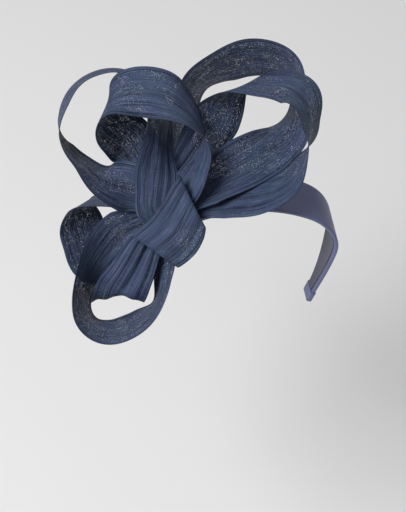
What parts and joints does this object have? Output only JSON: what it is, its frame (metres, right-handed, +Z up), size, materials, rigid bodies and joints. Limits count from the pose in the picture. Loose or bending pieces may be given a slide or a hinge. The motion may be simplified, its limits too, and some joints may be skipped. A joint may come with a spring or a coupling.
{
  "type": "fascinator headpiece",
  "caption": "Fascinator headpiece: loops of open-weave silk abaca ribbon gathered into a knot on one side of a wide satin headband.",
  "frame": {"origin": "middle of the head space, level with the ends of the headband's shoulders and half way between its two arms", "axes": "+X towards the wearer's left, +Y towards the back of the head, +Z up through the top of the headband"},
  "size_m": [0.2461, 0.2249, 0.2218],
  "materials": {
    "silk_abaca": "open plain weave with slubs, low sheen, navy blue",
    "satin": "smooth satin, soft sheen, muted navy",
    "lining_ribbon": "ribbed grosgrain, matt navy",
    "spring_plastic": "matt black moulded strip",
    "felt": "thin wool felt",
    "stiff_net": "stiffened woven straw, matt navy",
    "thread": "matt sewing thread, navy"
  },
  "bodies": {
    "root": {"band_lining": "lining_ribbon", "band_cover": "satin", "band_core": "spring_plastic", "band_padding": "felt", "tip_binding_left": "satin", "tip_binding_right": "satin", "trim_base": "stiff_net", "base_stitches": "thread", "bound_feet": "thread", "crown_loop": "silk_abaca", "left_loop": "silk_abaca", "back_loop": "silk_abaca", "right_loop": "silk_abaca", "back_left_loop": "silk_abaca", "low_loop": "silk_abaca", "short_loop": "silk_abaca", "knot_wrap": "silk_abaca", "wrap_stitches": "thread"}
  },
  "joints": []
}
